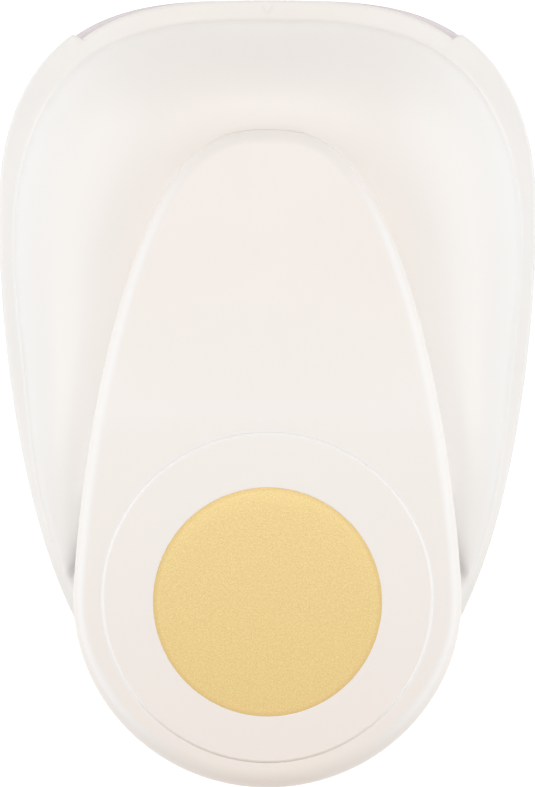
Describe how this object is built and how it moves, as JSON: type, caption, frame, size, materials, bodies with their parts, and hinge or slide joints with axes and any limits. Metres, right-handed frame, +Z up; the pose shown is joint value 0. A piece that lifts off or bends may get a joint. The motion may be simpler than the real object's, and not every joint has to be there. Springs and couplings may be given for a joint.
{
  "type": "circle punch",
  "caption": "Large lever-operated paper punch that cuts a round disc; domed case with a front mouth, long press lever with a round palm pad.",
  "frame": {"origin": "middle of the footprint seen from above, on the surface that the punch stands on", "axes": "+Z up, +Y to the paper mouth, the palm pad at -Y, X across"},
  "size_m": [0.1154, 0.1662, 0.06],
  "materials": {
    "case_plastic": "satin",
    "lever_plastic": "satin",
    "tray_plastic": "satin",
    "gold_foil": "satin grain",
    "plate_steel": "rolled",
    "tool_steel": "ground",
    "screw_steel": "zinc plated",
    "spring_steel": "drawn",
    "bush_bronze": "sintered"
  },
  "bodies": {
    "frame": {"base_tray": "tray_plastic", "die_plate": "plate_steel", "paper_stop": "plate_steel", "guide_plate": "plate_steel", "pivot_bracket": "plate_steel", "pivot_pin": "tool_steel", "pivot_clip": "spring_steel", "housing_shell": "case_plastic", "rear_deck": "case_plastic", "return_spring_front_left": "spring_steel", "return_spring_front_right": "spring_steel", "return_spring_rear_left": "spring_steel", "return_spring_rear_right": "spring_steel", "shoulder_bolt_front_left": "screw_steel", "shoulder_bolt_front_right": "screw_steel", "shoulder_bolt_rear_left": "screw_steel", "shoulder_bolt_rear_right": "screw_steel", "frame_screw_front_left": "screw_steel", "frame_screw_front_right": "screw_steel", "frame_screw_rear_left": "screw_steel", "frame_screw_rear_right": "screw_steel", "tray_screw_front_left": "screw_steel", "tray_screw_front_right": "screw_steel", "tray_screw_rear_left": "screw_steel", "tray_screw_rear_right": "screw_steel", "housing_screw_front_left": "screw_steel", "housing_screw_front_right": "screw_steel", "housing_screw_rear_left": "screw_steel", "housing_screw_rear_right": "screw_steel", "bracket_screw_left": "screw_steel", "bracket_screw_right": "screw_steel", "deck_screw_left": "screw_steel", "deck_screw_right": "screw_steel"},
    "punch": {"punch_cutter": "tool_steel", "pressure_plate": "plate_steel", "link_block": "plate_steel", "link_pin": "tool_steel", "link_clip_left": "spring_steel", "link_clip_right": "spring_steel", "cutter_screw_front_left": "screw_steel", "cutter_screw_front_right": "screw_steel", "cutter_screw_rear_left": "screw_steel", "cutter_screw_rear_right": "screw_steel", "block_screw_front": "screw_steel", "block_screw_rear": "screw_steel"},
    "lever": {"lever_shell": "lever_plastic", "lever_arm": "plate_steel", "pivot_bush_left": "bush_bronze", "pivot_bush_right": "bush_bronze", "pad_cap": "lever_plastic", "gold_disc": "gold_foil", "lever_screw_front": "screw_steel", "lever_screw_rear": "screw_steel", "pad_screw_left": "screw_steel", "pad_screw_right": "screw_steel"}
  },
  "joints": [
    {"name": "lever_press", "type": "hinge", "parent": "frame", "child": "lever", "pos_m": [0, 0.062, 0.034], "axis": [1, 0, 0], "range_deg": [0, 8.2], "stiffness_Nm_per_rad": 8, "springref_deg": -5.73},
    {"name": "punch_slide", "type": "slide", "parent": "frame", "child": "punch", "axis": [0, 0, -1], "range_m": [0, 0.00645], "deforming": ["return_spring_front_left", "return_spring_front_right", "return_spring_rear_left", "return_spring_rear_right"]}
  ],
  "couplings": [
    {"joint": "punch_slide", "follows": "lever_press", "m_per_rad": 0.045}
  ]
}
